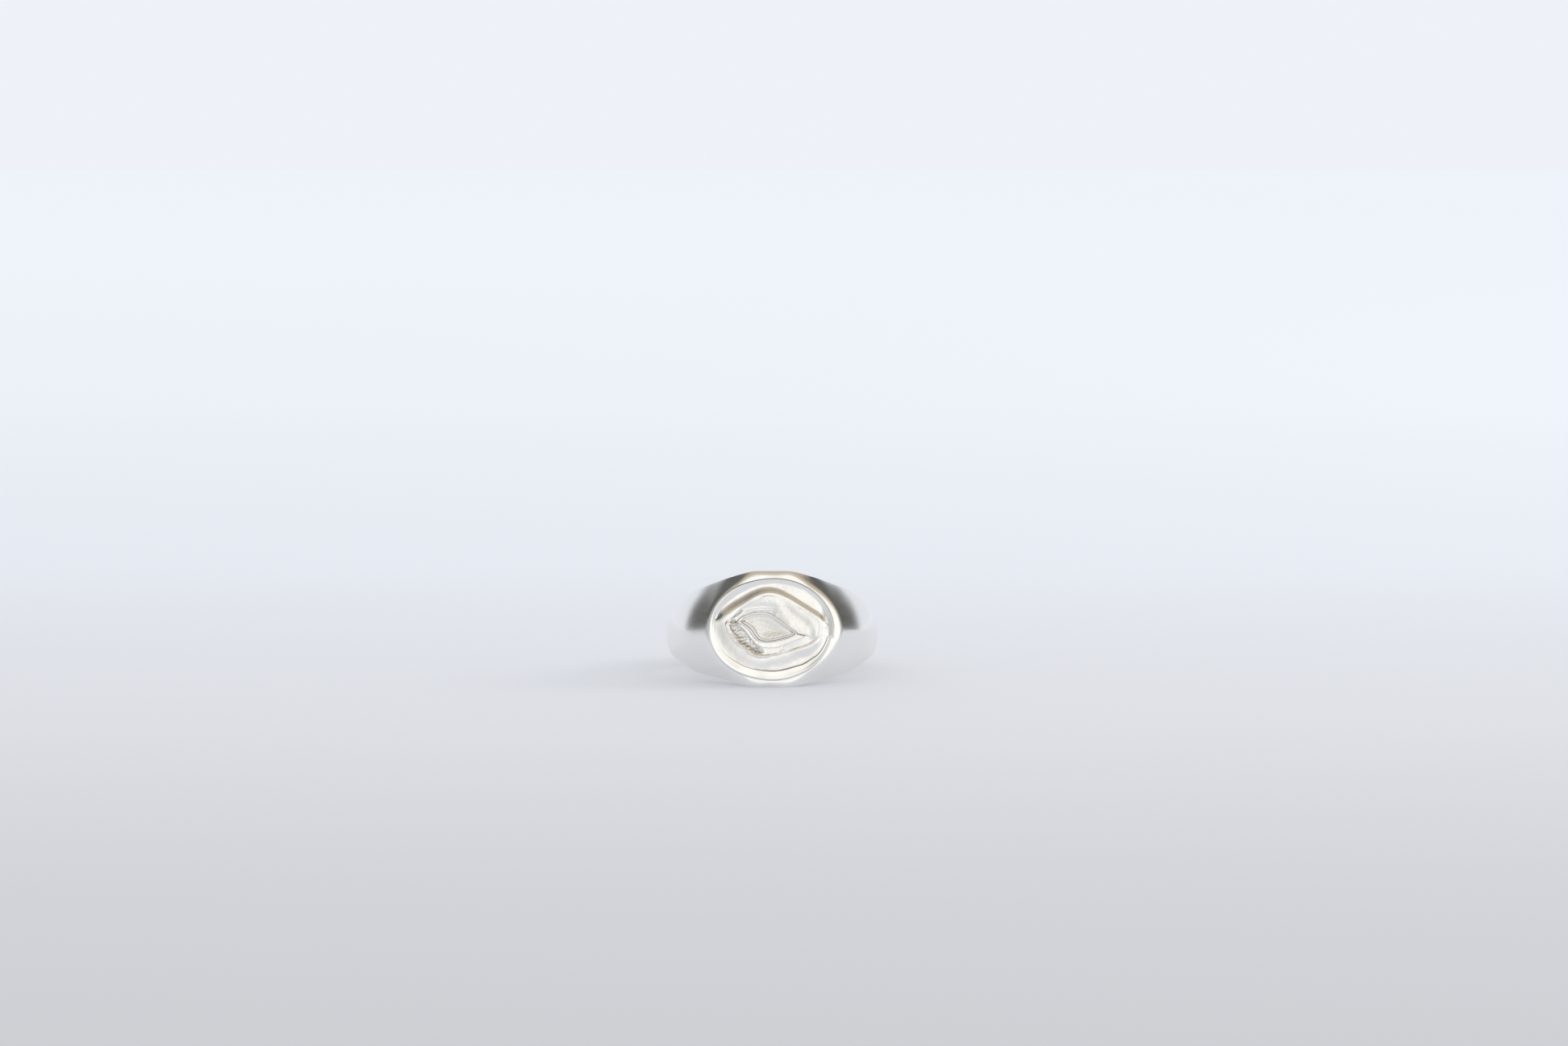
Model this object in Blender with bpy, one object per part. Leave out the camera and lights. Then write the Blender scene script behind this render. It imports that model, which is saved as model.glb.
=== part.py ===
"""Signet ring with an oval head and a carved, shell-like relief, lying on its side.

The ring is a bench assembly of silver pieces: a head with its shoulders, a half
shank soldered to it, a rim wire and a dished face plate on the head's flat table,
and a relief of three nested pieces. Everything is drawn in the ring's own frame,
in millimetres, with the bore's axis along Z, the bore's centre at the origin and
the head towards -Y. The lying_pose empty then lays the ring on its lapped flanks.
"""

import math

import bmesh
import bpy
import numpy as np
from mathutils import Matrix, Vector

MM = 0.001

# Driving dimensions, in millimetres.
BORE_RADIUS = 8.65
BORE_CROWN = 0.10  # how much the bore opens out towards its two ends
BORE_EDGE_ROUND = 0.35
TABLE_DISTANCE = 10.95  # from the bore's axis to the head's flat table
HEAD_HALF_WIDTH = 5.80  # half the ring's width along the finger, at the head
BACK_HALF_WIDTH = 1.90  # the same at the back of the shank
HEAD_FLANK_Y = -11.0  # where those two half widths are taken
BACK_FLANK_Y = 10.0
SEAM_ANGLE = 108.0  # degrees round the hoop from the head to each solder seam
SOLDER_THICKNESS = 0.10
GAP = 0.03  # left between pieces that touch

# The hoop's outline. Degrees round from the head, radius of the crest in the
# ring's middle plane, and radius of the edge where the dome meets the flank.
HOOP_STATIONS = (
    (0, 12.60, 10.84),
    (15, 12.70, 11.10),
    (24, 13.10, 11.05),
    (31, 12.90, 10.88),
    (38, 12.62, 10.84),
    (45, 12.36, 10.80),
    (60, 11.55, 10.42),
    (75, 11.00, 9.95),
    (90, 10.70, 9.65),
    (120, 10.50, 9.55),
    (150, 10.35, 9.55),
    (180, 10.30, 9.55),
)
# How the shoulders narrow: degrees round from the head, and half width.
FLANK_STATIONS = (
    (0, 6.30),
    (13, 5.66),
    (21, 5.22),
    (32, 4.72),
    (43, 4.20),
    (54, 3.52),
    (66, 2.88),
    (80, 2.46),
    (100, 2.30),
    (125, 2.22),
    (150, 2.20),
    (180, 2.20),
)
# Superellipse powers of the hoop's domed outside, for its width and its radius, by
# degrees round from the head: nearly a bevel above and below the table, peaked at
# the shoulders, and fuller at the back of the band.
DOME_POWERS = ((18, 1.7, 0.85), (42, 1.7, 1.45), (90, 2.2, 2.0))
# The left shoulder is filed down beside the rim: degrees from the head, spread, and depth.
FILED_LEFT = (-30.0, 11.0, 0.20)

# The rim wire and the face plate, on the head's table.
RIM_HALF_LENGTH = 5.88  # of the wire's centre line
RIM_HALF_HEIGHT = 4.73
RIM_WIRE_WIDTH = 0.85
RIM_WIRE_RISE = 1.05
PLATE_THICKNESS = 0.35
PLATE_FLAT_SHARE = 0.90  # of the plate's radius, before its edge curls up
PLATE_EDGE_RISE = 0.25

# The relief's three outlines on the face, clockwise from the left tip: distance
# to the right and distance up, both from the face's centre.
MANTLE_OUTLINE = (
    (-4.68, 0.45),
    (-4.00, 1.15),
    (-3.00, 2.15),
    (-1.80, 2.88),
    (-0.40, 3.28),
    (1.10, 2.95),
    (2.60, 2.12),
    (4.00, 1.38),
    (4.78, 0.80),
    (4.82, -0.35),
    (4.10, -1.48),
    (2.40, -2.15),
    (0.50, -2.68),
    (-1.50, -2.85),
    (-2.80, -2.15),
    (-4.05, -1.00),
)
LIP_OUTLINE = (
    (-3.50, 0.70),
    (-3.00, 1.15),
    (-2.25, 1.47),
    (-1.35, 1.62),
    (-0.40, 1.52),
    (0.35, 1.13),
    (1.10, 0.58),
    (1.80, 0.06),
    (2.50, -0.48),
    (1.95, -0.86),
    (1.15, -1.13),
    (0.20, -1.36),
    (-0.70, -1.43),
    (-1.40, -1.27),
    (-1.88, -0.86),
    (-2.25, -0.32),
    (-2.68, 0.12),
    (-3.15, 0.40),
)
CORE_OUTLINE = (
    (-2.70, 0.74),
    (-2.30, 0.95),
    (-1.80, 1.08),
    (-1.20, 1.14),
    (-0.55, 1.08),
    (0.05, 0.82),
    (0.65, 0.38),
    (1.25, -0.04),
    (1.95, -0.48),
    (1.45, -0.66),
    (0.85, -0.83),
    (0.15, -0.98),
    (-0.60, -1.06),
    (-1.10, -0.93),
    (-1.42, -0.58),
    (-1.65, -0.14),
    (-1.95, 0.22),
    (-2.35, 0.50),
)
# Heights above the face plate's floor.
MANTLE_EDGE = 0.55
MANTLE_VALLEY = 0.22
MANTLE_INNER = 0.30
LIP_CREST = 0.62
LIP_SHOULDER = 0.34
CORE_EDGE = 0.26
CORE_MIDDLE = 0.16

# How finely the round shapes are cut.
HOOP_STEP = 4.0  # degrees
DOME_STEPS = 18
FLANK_STEPS = 3
CORNER_STEPS = 3
BORE_STEPS = 4
RIM_STEPS = 60
RIM_PROFILE_STEPS = 10
OUTLINE_STEPS = 60

SILVER = (0.93, 0.91, 0.88)
CAST_SILVER = (0.86, 0.83, 0.78)
SOLDER = (0.90, 0.87, 0.80)


def clear_scene():
    for thing in list(bpy.data.objects):
        bpy.data.objects.remove(thing)


def metal(name, colour, roughness):
    """A Principled BSDF metal."""
    material = bpy.data.materials.new(name)
    material.use_nodes = True
    shader = material.node_tree.nodes["Principled BSDF"]
    shader.inputs["Base Color"].default_value = (*colour, 1.0)
    shader.inputs["Metallic"].default_value = 1.0
    shader.inputs["Roughness"].default_value = roughness
    return material


def level_ended_spline(stations):
    """A smooth function through (position, value) stations, level at both ends."""
    at = np.array([station[0] for station in stations], float)
    value = np.array([station[1] for station in stations], float)
    gap = np.diff(at)
    slope = np.diff(value) / gap
    size = len(at)
    system = np.zeros((size, size))
    right = np.zeros(size)
    system[0, :2] = 2 * gap[0], gap[0]
    right[0] = 6 * slope[0]
    system[-1, -2:] = gap[-1], 2 * gap[-1]
    right[-1] = -6 * slope[-1]
    for i in range(1, size - 1):
        system[i, i - 1 : i + 2] = gap[i - 1], 2 * (gap[i - 1] + gap[i]), gap[i]
        right[i] = 6 * (slope[i] - slope[i - 1])
    bend = np.linalg.solve(system, right)

    def curve(x):
        x = min(max(x, at[0]), at[-1])
        i = min(max(int(np.searchsorted(at, x)) - 1, 0), size - 2)
        before = (at[i + 1] - x) / gap[i]
        after = 1 - before
        straight = before * value[i] + after * value[i + 1]
        bow = (before**3 - before) * bend[i] + (after**3 - after) * bend[i + 1]
        return float(straight + bow * gap[i] ** 2 / 6)

    return curve


def closed_curve(points, steps):
    """Points evenly spread in order along a smooth closed curve through the given ones."""
    count = len(points)
    known = np.array(points, float)
    made = []
    for step in range(steps):
        place = step * count / steps
        i = int(place)
        t = place - i
        before, start, end, after = (known[(i + k) % count] for k in (-1, 0, 1, 2))
        made.append(
            0.5
            * (
                2 * start
                + (end - before) * t
                + (2 * before - 5 * start + 4 * end - after) * t**2
                + (3 * start - before - 3 * end + after) * t**3
            )
        )
    return made


crest_radius = level_ended_spline([(a, crest) for a, crest, _ in HOOP_STATIONS])
edge_radius = level_ended_spline([(a, edge) for a, _, edge in HOOP_STATIONS])
taper = level_ended_spline(FLANK_STATIONS)
REST_SLOPE = (HEAD_HALF_WIDTH - BACK_HALF_WIDTH) / (BACK_FLANK_Y - HEAD_FLANK_Y)


def half_width(turned, y):
    """Half the ring's width. The flanks are lapped flat where the ring rests."""
    rest_plane = HEAD_HALF_WIDTH - (y - HEAD_FLANK_Y) * REST_SLOPE
    return min(taper(turned), rest_plane)


def hoop_section(degrees):
    """The closed outline of the hoop cut at an angle from the head, in the ring's frame."""
    angle = math.radians(degrees)
    signed = (degrees + 180) % 360 - 180
    turned = abs(signed)
    filed_at, spread, depth = FILED_LEFT
    crest = crest_radius(turned) - depth * math.exp(-(((signed - filed_at) / spread) ** 2))
    edge = edge_radius(turned)

    def flank_at(radius):
        return half_width(turned, -radius * math.cos(angle))

    upper_flank = []
    corner_at = BORE_RADIUS + BORE_CROWN + BORE_EDGE_ROUND
    for step in range(CORNER_STEPS):
        turn = math.radians(90) * step / CORNER_STEPS
        radius = corner_at - BORE_EDGE_ROUND * math.cos(turn)
        drop = BORE_EDGE_ROUND * (1 - math.sin(turn))
        upper_flank.append((radius, flank_at(corner_at) - drop))
    for step in range(FLANK_STEPS):
        radius = corner_at + (edge - corner_at) * step / FLANK_STEPS
        upper_flank.append((radius, flank_at(radius)))

    stations = np.array(DOME_POWERS)
    width_power, radius_power = (np.interp(turned, stations[:, 0], stations[:, k]) for k in (1, 2))
    dome = []
    for step in range(DOME_STEPS + 1):
        turn = math.pi * step / DOME_STEPS
        across = math.copysign(abs(math.cos(turn)) ** (2 / width_power), math.cos(turn))
        rise = max(math.sin(turn), 0.0) ** (2 / radius_power)
        dome.append((edge + (crest - edge) * rise, flank_at(edge) * across))

    lower_flank = [(radius, -height) for radius, height in reversed(upper_flank)]
    bore_end = upper_flank[0][1]
    bore = []
    for step in range(1, BORE_STEPS):
        height = -bore_end + 2 * bore_end * step / BORE_STEPS
        bore.append((BORE_RADIUS + BORE_CROWN * (height / bore_end) ** 2, height))

    outline = upper_flank + dome + lower_flank + bore
    return [
        (radius * math.sin(angle), -radius * math.cos(angle), height)
        for radius, height in outline
    ]


def solid_from_loops(name, loops, material, ring=False):
    """A solid skinned over loops of points. Its ends are capped, or joined in a ring."""
    shape = bmesh.new()
    rows = [[shape.verts.new(Vector(point) * MM) for point in loop] for loop in loops]
    pairs = list(zip(rows, rows[1:]))
    if ring:
        pairs.append((rows[-1], rows[0]))
    for near, far in pairs:
        for i in range(len(near)):
            after = (i + 1) % len(near)
            shape.faces.new((near[i], near[after], far[after], far[i]))
    if not ring:
        shape.faces.new(list(reversed(rows[0])))
        shape.faces.new(rows[-1])
    bmesh.ops.recalc_face_normals(shape, faces=shape.faces)
    mesh = bpy.data.meshes.new(name)
    shape.to_mesh(mesh)
    shape.free()
    mesh.materials.append(material)
    mesh.shade_smooth()
    mesh.set_sharp_from_angle(angle=math.radians(35))
    thing = bpy.data.objects.new(name, mesh)
    bpy.context.scene.collection.objects.link(thing)
    return thing


def hoop_piece(name, start, end, material):
    """The stretch of the hoop between two angles."""
    steps = max(1, round((end - start) / HOOP_STEP))
    angles = [start + (end - start) * step / steps for step in range(steps + 1)]
    return solid_from_loops(name, [hoop_section(angle) for angle in angles], material)


def box_cutter(name, low, high):
    """A hidden box for a Boolean to cut with."""
    shape = bmesh.new()
    size = Vector(high) - Vector(low)
    middle = (Vector(high) + Vector(low)) / 2
    scale = Matrix.Diagonal((*(size * MM), 1.0))
    bmesh.ops.create_cube(shape, size=1.0, matrix=Matrix.Translation(middle * MM) @ scale)
    mesh = bpy.data.meshes.new(name)
    shape.to_mesh(mesh)
    shape.free()
    cutter = bpy.data.objects.new(name, mesh)
    cutter.hide_render = True
    cutter.display_type = "WIRE"
    bpy.context.scene.collection.objects.link(cutter)
    return cutter


def make_head(material, seam_half_angle):
    """The head and both shoulders, with the flat oval table cut across the front."""
    reach = SEAM_ANGLE - seam_half_angle
    head = hoop_piece("head", -reach, reach, material)
    side, depth = 12.0, 6.0
    cutter = box_cutter(
        "table_cutter",
        (-side, -TABLE_DISTANCE - depth, -side),
        (side, -TABLE_DISTANCE, side),
    )
    cut = head.modifiers.new("flat_table", "BOOLEAN")
    cut.operation = "DIFFERENCE"
    cut.object = cutter
    return head, cutter


def on_face(across, up, rise):
    """The point on the head's front that far across, up, and out from the flat table."""
    return (across, -TABLE_DISTANCE - rise, up)


def ellipse(half_length, half_height, steps):
    return [
        (half_length * math.cos(turn), half_height * math.sin(turn))
        for turn in (2 * math.pi * step / steps for step in range(steps))
    ]


def make_rim(material):
    """A half-round wire bent into an oval, flat side down on the table."""
    half = RIM_WIRE_WIDTH / 2
    side_rise = 0.4 * RIM_WIRE_RISE
    profile = [(half, GAP), (-half, GAP)]
    for step in range(RIM_PROFILE_STEPS + 1):
        turn = math.pi - math.pi * step / RIM_PROFILE_STEPS
        crown = (RIM_WIRE_RISE - side_rise) * math.sin(turn)
        profile.append((half * math.cos(turn), GAP + side_rise + crown))
    loops = []
    for out, rise in profile:
        oval = ellipse(RIM_HALF_LENGTH + out, RIM_HALF_HEIGHT + out, RIM_STEPS)
        loops.append([on_face(across, up, rise) for across, up in oval])
    return solid_from_loops("rim_wire", loops, material, ring=True)


def make_face_plate(material):
    """The dished plate inside the rim: a flat floor whose edge curls up to the rim."""
    inset = RIM_WIRE_WIDTH / 2 + GAP
    half_length, half_height = RIM_HALF_LENGTH - inset, RIM_HALF_HEIGHT - inset

    def oval(share, rise):
        points = ellipse(half_length * share, half_height * share, RIM_STEPS)
        return [on_face(across, up, rise) for across, up in points]

    floor = GAP + PLATE_THICKNESS
    loops = [oval(1.0, GAP)]
    curl_steps = 4
    for step in range(curl_steps + 1):
        left = 1 - step / curl_steps
        share = PLATE_FLAT_SHARE + (1 - PLATE_FLAT_SHARE) * left
        loops.append(oval(share, floor + PLATE_EDGE_RISE * left**2))
    return solid_from_loops("face_plate", loops, material)


def scaled_about_middle(outline, out):
    """An outline moved outwards by about that distance, or inwards if it is negative."""
    middle = sum(outline) / len(outline)
    return [point + out * (point - middle) / np.linalg.norm(point - middle) for point in outline]


RELIEF_FLOOR = GAP + PLATE_THICKNESS + GAP


def collar(name, outer, inner, heights, material):
    """A solid band between two outlines. heights are (share of the way in, height) pairs."""
    loops = [[on_face(across, up, RELIEF_FLOOR) for across, up in outer]]
    for share, height in heights:
        between = [(1 - share) * a + share * b for a, b in zip(outer, inner)]
        loops.append([on_face(across, up, RELIEF_FLOOR + height) for across, up in between])
    loops.append([on_face(across, up, RELIEF_FLOOR) for across, up in inner])
    return solid_from_loops(name, loops, material, ring=True)


def make_mantle(material):
    """The relief's outer leaf: a raised edge that falls to a valley round the lip."""
    outer = closed_curve(MANTLE_OUTLINE, OUTLINE_STEPS)
    inner = scaled_about_middle(closed_curve(LIP_OUTLINE, OUTLINE_STEPS), GAP)
    heights = (
        (0.0, 0.6 * MANTLE_EDGE),
        (0.06, MANTLE_EDGE),
        (0.16, 0.92 * MANTLE_EDGE),
        (0.45, (MANTLE_EDGE + MANTLE_VALLEY) / 2),
        (0.80, MANTLE_VALLEY),
        (1.0, MANTLE_INNER),
    )
    return collar("relief_mantle", outer, inner, heights, material)


def make_lip(material):
    """The relief's almond-shaped lip, round the core."""
    outer = closed_curve(LIP_OUTLINE, OUTLINE_STEPS)
    inner = scaled_about_middle(closed_curve(CORE_OUTLINE, OUTLINE_STEPS), GAP)
    heights = (
        (0.0, LIP_SHOULDER),
        (0.30, LIP_CREST),
        (0.60, 0.95 * LIP_CREST),
        (1.0, LIP_SHOULDER),
    )
    return collar("relief_lip", outer, inner, heights, material)


def make_core(material):
    """The relief's sunken middle, dished between the lip's walls."""
    outline = closed_curve(CORE_OUTLINE, OUTLINE_STEPS)
    middle = sum(outline) / len(outline)
    loops = [[on_face(across, up, RELIEF_FLOOR) for across, up in outline]]
    for share in (1.0, 0.75, 0.5, 0.25):
        height = CORE_MIDDLE + (CORE_EDGE - CORE_MIDDLE) * share**2
        ring = [middle + share * (point - middle) for point in outline]
        loops.append([on_face(across, up, RELIEF_FLOOR + height) for across, up in ring])
    return solid_from_loops("relief_core", loops, material)


def lay_down(pieces):
    """Tips the ring back on its lapped flanks and centres it over the origin."""
    pose = bpy.data.objects.new("lying_pose", None)
    bpy.context.scene.collection.objects.link(pose)
    for piece in pieces:
        piece.parent = pose
    pose.rotation_euler.x = -math.atan(REST_SLOPE)
    bpy.context.view_layer.update()
    corners = []
    graph = bpy.context.evaluated_depsgraph_get()
    for piece in pieces:
        if not piece.hide_render:
            evaluated = piece.evaluated_get(graph)
            mesh = evaluated.to_mesh()
            corners += [evaluated.matrix_world @ vertex.co for vertex in mesh.vertices]
            evaluated.to_mesh_clear()
    low = Vector(min(point[k] for point in corners) for k in range(3))
    high = Vector(max(point[k] for point in corners) for k in range(3))
    pose.location = -Vector(((low.x + high.x) / 2, (low.y + high.y) / 2, low.z))


def main():
    clear_scene()
    silver = metal("polished_silver", SILVER, 0.12)
    cast = metal("cast_silver", CAST_SILVER, 0.42)
    solder = metal("hard_solder", SOLDER, 0.22)

    solder_half = math.degrees(SOLDER_THICKNESS / 2 / BORE_RADIUS)
    seam_half = math.degrees((SOLDER_THICKNESS / 2 + GAP) / BORE_RADIUS)
    head, cutter = make_head(silver, seam_half)
    pieces = [
        head,
        cutter,
        hoop_piece("shank", SEAM_ANGLE + seam_half, 360 - SEAM_ANGLE - seam_half, silver),
        make_rim(silver),
        make_face_plate(silver),
        make_mantle(silver),
        make_lip(silver),
        make_core(cast),
    ]
    for side, angle in (("right", SEAM_ANGLE), ("left", -SEAM_ANGLE)):
        name = f"solder_seam_{side}"
        pieces.append(hoop_piece(name, angle - solder_half, angle + solder_half, solder))
    lay_down(pieces)


main()
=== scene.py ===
"""The looks of the signet ring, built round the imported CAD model.

Shapes are drawn in the ring's own frame, in millimetres: the bore's axis along Z, its centre at
the origin and the face towards -Y. skin() then lays them where the CAD's ring lies.
"""

import math

import bpy
import numpy as np
from mathutils import Matrix, Vector, noise


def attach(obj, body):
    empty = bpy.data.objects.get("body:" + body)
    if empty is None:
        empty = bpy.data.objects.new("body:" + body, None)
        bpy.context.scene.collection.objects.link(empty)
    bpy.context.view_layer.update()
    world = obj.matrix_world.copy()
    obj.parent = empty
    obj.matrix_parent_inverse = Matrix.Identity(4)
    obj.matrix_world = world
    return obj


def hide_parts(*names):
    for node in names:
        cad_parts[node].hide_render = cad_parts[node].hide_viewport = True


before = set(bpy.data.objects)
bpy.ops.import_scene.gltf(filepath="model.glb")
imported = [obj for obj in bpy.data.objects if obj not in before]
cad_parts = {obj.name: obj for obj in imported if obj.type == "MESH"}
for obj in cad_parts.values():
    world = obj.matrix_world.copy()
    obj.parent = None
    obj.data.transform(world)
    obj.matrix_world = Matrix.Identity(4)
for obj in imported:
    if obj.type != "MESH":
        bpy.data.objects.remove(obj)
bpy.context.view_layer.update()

MM = 0.001

# The CAD's driving dimensions, in millimetres.
BORE_RADIUS = 8.65
BORE_CROWN = 0.10
BORE_EDGE_ROUND = 0.35
TABLE_DISTANCE = 10.95
HEAD_HALF_WIDTH = 5.80
BACK_HALF_WIDTH = 1.90
HEAD_FLANK_Y = -11.0
BACK_FLANK_Y = 10.0
REST_SLOPE = (HEAD_HALF_WIDTH - BACK_HALF_WIDTH) / (BACK_FLANK_Y - HEAD_FLANK_Y)
SEAM_ANGLE = 108.0
SOLDER_THICKNESS = 0.10
GAP = 0.03
HOOP_STATIONS = (  # degrees from the head, radius of the crest, radius of the dome's edge
    (0, 12.60, 10.84),
    (15, 12.70, 11.10),
    (24, 13.10, 11.05),
    (31, 12.90, 10.88),
    (38, 12.62, 10.84),
    (45, 12.36, 10.80),
    (60, 11.55, 10.42),
    (75, 11.00, 9.95),
    (90, 10.70, 9.65),
    (120, 10.50, 9.55),
    (150, 10.35, 9.55),
    (180, 10.30, 9.55),
)
FLANK_STATIONS = (  # degrees from the head, half width
    (0, 6.30),
    (13, 5.66),
    (21, 5.22),
    (32, 4.72),
    (43, 4.20),
    (54, 3.52),
    (66, 2.88),
    (80, 2.46),
    (100, 2.30),
    (125, 2.22),
    (150, 2.20),
    (180, 2.20),
)
# The dome's superellipse powers for its width and its radius, by degrees from the head: nearly
# a bevel above and below the table, peaked at the shoulders, fuller at the back of the band.
DOME_POWERS = ((18, 1.7, 0.85), (42, 1.7, 1.45), (90, 2.2, 2.0))
# The left shoulder is filed down beside the rim: degrees from the head, spread, and depth.
FILED_LEFT = (-30.0, 11.0, 0.20)
# How softly the shoulders run into the flat table, at its top and bottom and at its sides.
TABLE_EDGE_ROUNDS = (0.12, 0.34)
TABLE_EDGE_TURNS = (12, 30)  # degrees from the head between which the one becomes the other
TABLE_ENDS = 60  # degrees from the head past which the table's plane no longer cuts the hoop
FAR_OFF = 99.0  # a radius beyond everything, for where it doesn't
FLANK_ROUND = 0.30  # how softly the lapped flank runs into the taper

SEAM_HALF_ANGLE = math.degrees(SOLDER_THICKNESS / 2 / BORE_RADIUS)
SOLDER_PROUD = 1.0012  # how much larger the solder films' outline is than the silver's
# How finely the hoop's pieces are cut: the head's sections are closest within HEAD_FINE_REACH
# degrees of its middle.
HEAD_FINE_REACH = 52.0
HEAD_FINE_SECTIONS = 209
HEAD_COARSE_STEP = 1.3  # degrees
SHANK_SECTIONS = 112
SEAM_SECTIONS = 5
BAND_DOME_STEPS = 72
# The waviness that polishing by hand leaves: strength, waves along x, y and z, and phase.
POLISH_WAVES = (
    (1.0, 1.1, 0.7, 0.0, 0.9),
    (1.0, 0.0, 0.8, -1.3, 2.1),
    (0.6, 1.3, 0.0, 1.9, 0.4),
    (0.5, 2.6, 0.0, -1.7, 1.2),
)
POLISH_DEPTH = 0.018
POLISH_STARTS = (0.9, 1.6)  # out from the bore, where the waviness begins and is full

# The face. Everything on it is placed by how far it is to the right of the face's centre and
# how far up, and rises above the table.
RIM_CENTRE = (-0.10, -0.06)
RIM_CREASE = (6.28, 5.14)  # half axes of the oval crease outside the rim wire
# Round the face, in degrees from the right: how wide the rim is, how high its crest is, how
# high the plate's floor is beside it, and how much the rim ends in a small step (0 to 1).
RIM_STATIONS = (
    (0, 0.72, 0.87, 0.74, 0.0),
    (50, 0.62, 0.87, 0.75, 0.0),
    (90, 0.62, 0.87, 0.69, 0.0),
    (140, 0.95, 0.90, 0.68, 0.0),
    (164, 0.66, 0.91, 0.74, 0.0),
    (180, 0.74, 0.92, 0.77, 0.0),
    (225, 0.95, 0.84, 0.735, 0.4),
    (265, 1.06, 0.84, 0.70, 1.0),
    (300, 1.02, 0.84, 0.70, 1.0),
    (318, 0.84, 0.84, 0.68, 1.0),
    (335, 0.58, 0.86, 0.72, 1.0),
    (351, 0.50, 0.86, 0.73, 1.0),
)
# Unevenness round the face: height, number of waves, and phase.
CREASE_WAVES = ((0.030, 2, 0.6), (0.024, 5, 1.9))
WIDTH_WAVES = ((0.03, 5, 0.7), (0.012, 11, 2.1))  # as shares of the rim's width
CREST_WAVES = ((0.012, 7, 0.0), (0.008, 11, 1.0))
RIM_OUTER_ROUND = 0.17
RIM_PLAIN_FALL = (0.18, 1.05)  # where the stepless rim falls, by the share of its width
# The stepped rim's fall from crest to floor, by the share of its width from outside.
RIM_STEPPED_FALL = (
    (0.14, 0.00),
    (0.24, 0.06),
    (0.50, 0.25),
    (0.86, 0.34),
    (0.92, 0.44),
    (1.00, 0.97),
)
RIM_SINK = 0.02  # how far the rim's inner edge dips below the plate where it has no step
LAP_TURN = math.radians(-8.0)  # where the rim wire's two ends meet
LAP_STEP = 0.20
LAP_EDGE = 0.012  # half the joint's breadth, in radians
LAP_FADES = (0.05, 0.75)  # radians below the joint over which its step dies out
LAP_NOTCH = (0.10, 0.10)  # the notch across the joint: depth and half width
RIM_TURNS, RIM_ROUND_STEPS, RIM_SLOPE_STEPS = 720, 8, 35
PLATE_SWELL = 0.86  # the plate's rise where it meets the relief
PLATE_REACH = 0.16  # how far the plate runs in under the rim
PLATE_EDGE_DROP = 0.10  # how much lower its edge is there
PLATE_TURNS = 420
# The plate's rings, closest where no relief covers them: the first's and the last's share of its
# size, and how many.
PLATE_RINGS = ((1.0, 0.42, 76), (0.34, 0.04, 5))
# How far from the relief the plate swells: everywhere, and more at the left and at the bottom.
SWELL_REACHES = (0.50, 0.45, 0.80)
SWELL_STARTS = 0.03
# How far the plate dips under the relief, and where inside the relief's outline it does.
UNDER_RELIEF = 0.30
UNDER_RELIEF_STARTS = (0.03, 0.30)

# The middle of the slope by which the plate falls away above the relief.
PLATE_BROW = (
    (-6.20, 0.70),
    (-5.60, 1.00),
    (-4.90, 1.45),
    (-4.00, 2.12),
    (-2.90, 2.80),
    (-1.70, 3.48),
    (-0.60, 3.80),
    (0.50, 3.70),
    (1.70, 3.16),
    (2.90, 2.44),
    (4.00, 1.74),
    (4.75, 1.25),
    (5.30, 0.60),
)
BROW_WIDTHS = ((-3.0, 0.95), (1.5, 0.66))  # places from left to right, and the slope's width there
BROW_HEIGHTS = (-0.7, 1.3)  # how far up the face the slope takes over from the swelling's shape
BROW_RAISE = 0.06  # how much higher the plate's swelling is above the relief than below it
# Hollows where the slope dies out at the left and right: centre, radii, depth.
BROW_ENDS = (
    ((-5.68, 1.40), (0.45, 0.42), -0.26),
    ((5.02, 1.35), (0.22, 0.50), -0.06),
)

MANTLE_OUTLINE = (
    (-4.68, 0.45),
    (-4.00, 1.15),
    (-3.00, 2.15),
    (-1.80, 2.88),
    (-0.40, 3.28),
    (1.10, 2.95),
    (2.60, 2.12),
    (4.00, 1.38),
    (4.78, 0.80),
    (4.82, -0.35),
    (4.10, -1.48),
    (2.40, -2.15),
    (0.50, -2.68),
    (-1.50, -2.85),
    (-2.80, -2.15),
    (-4.05, -1.00),
)
LIP_OUTLINE = (
    (-3.50, 0.70),
    (-3.00, 1.15),
    (-2.25, 1.47),
    (-1.35, 1.62),
    (-0.40, 1.52),
    (0.35, 1.13),
    (1.10, 0.58),
    (1.80, 0.06),
    (2.50, -0.48),
    (1.95, -0.86),
    (1.15, -1.13),
    (0.20, -1.36),
    (-0.70, -1.43),
    (-1.40, -1.27),
    (-1.88, -0.86),
    (-2.25, -0.32),
    (-2.68, 0.12),
    (-3.15, 0.40),
)
CORE_OUTLINE = (
    (-2.70, 0.74),
    (-2.30, 0.95),
    (-1.80, 1.08),
    (-1.20, 1.14),
    (-0.55, 1.08),
    (0.05, 0.82),
    (0.65, 0.38),
    (1.25, -0.04),
    (1.95, -0.48),
    (1.45, -0.66),
    (0.85, -0.83),
    (0.15, -0.98),
    (-0.60, -1.06),
    (-1.10, -0.93),
    (-1.42, -0.58),
    (-1.65, -0.14),
    (-1.95, 0.22),
    (-2.35, 0.50),
)
RELIEF_BASE = 0.50  # the relief's pieces stand in the plate's swelling
RELIEF_LEVEL = PLATE_SWELL - 0.14  # what the heights of the relief's parts are counted from
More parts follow.
